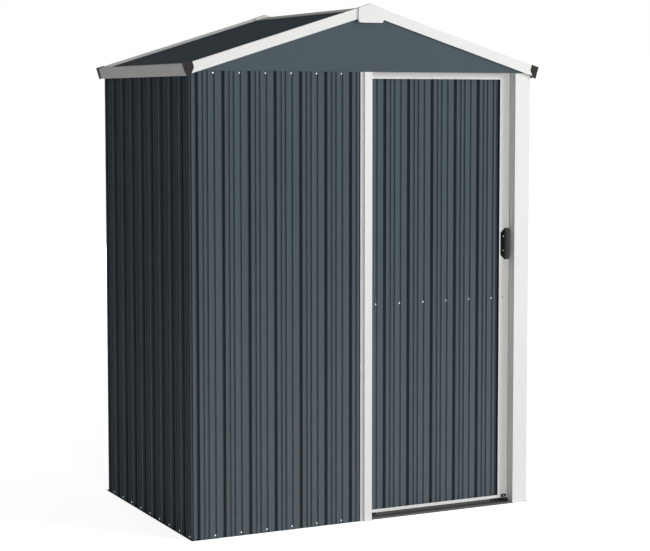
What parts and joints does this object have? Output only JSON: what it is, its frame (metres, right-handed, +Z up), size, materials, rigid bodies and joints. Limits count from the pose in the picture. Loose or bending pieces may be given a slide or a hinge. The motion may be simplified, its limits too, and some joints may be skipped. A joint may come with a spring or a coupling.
{
  "type": "metal storage shed",
  "caption": "Small metal garden storage shed with ribbed grey sheet walls, a low gable roof with white trims and a sliding door",
  "frame": {"origin": "on the ground, under the middle of the shed", "axes": "+X to the right along the door front, -Y out of the door front, +Z up"},
  "size_m": [1.415, 0.932, 1.8607],
  "materials": {
    "anthracite_paint": "satin anthracite coating on thin steel sheet",
    "white_paint": "satin white coating on folded steel",
    "sill_paint": "dull dark grey coating on folded steel",
    "zinc_steel": "plain galvanized steel",
    "dark_plastic": "moulded dark grey plastic",
    "white_plastic": "moulded white plastic",
    "black_plastic": "moulded black plastic"
  },
  "bodies": {
    "root": {"base_rail_left": "anthracite_paint", "base_rail_right": "anthracite_paint", "base_rail_rear": "anthracite_paint", "base_rail_front": "anthracite_paint", "door_sill": "sill_paint", "left_wall": "anthracite_paint", "right_wall": "anthracite_paint", "rear_wall": "anthracite_paint", "front_wall": "anthracite_paint", "door_jamb": "white_paint", "corner_post": "white_paint", "top_rail_left": "zinc_steel", "top_rail_right": "zinc_steel", "top_rail_rear": "zinc_steel", "door_track": "zinc_steel", "front_gable": "anthracite_paint", "rear_gable": "anthracite_paint", "ridge_beam": "zinc_steel", "roof_left": "anthracite_paint", "roof_right": "anthracite_paint", "ridge_cap": "white_paint", "eave_trim_left": "white_paint", "eave_trim_right": "white_paint", "gable_trim_front_left": "white_paint", "gable_trim_front_right": "white_paint", "gable_trim_rear_left": "white_paint", "gable_trim_rear_right": "white_paint", "corner_cap_front_left": "dark_plastic", "corner_cap_front_right": "dark_plastic", "corner_cap_rear_left": "dark_plastic", "corner_cap_rear_right": "dark_plastic", "peak_cap_front": "white_plastic", "peak_cap_rear": "white_plastic"},
    "door": {"door_sheet": "anthracite_paint", "door_stile_left": "white_paint", "door_stile_right": "white_paint", "door_top_rail": "white_paint", "door_bottom_rail": "white_paint", "door_brace": "zinc_steel", "door_handle": "black_plastic", "door_hangers": "black_plastic", "door_guides": "black_plastic"}
  },
  "joints": [
    {"name": "door_slide", "type": "slide", "parent": "root", "child": "door", "axis": [-1, 0, 0], "range_m": [0, 0.56]}
  ]
}
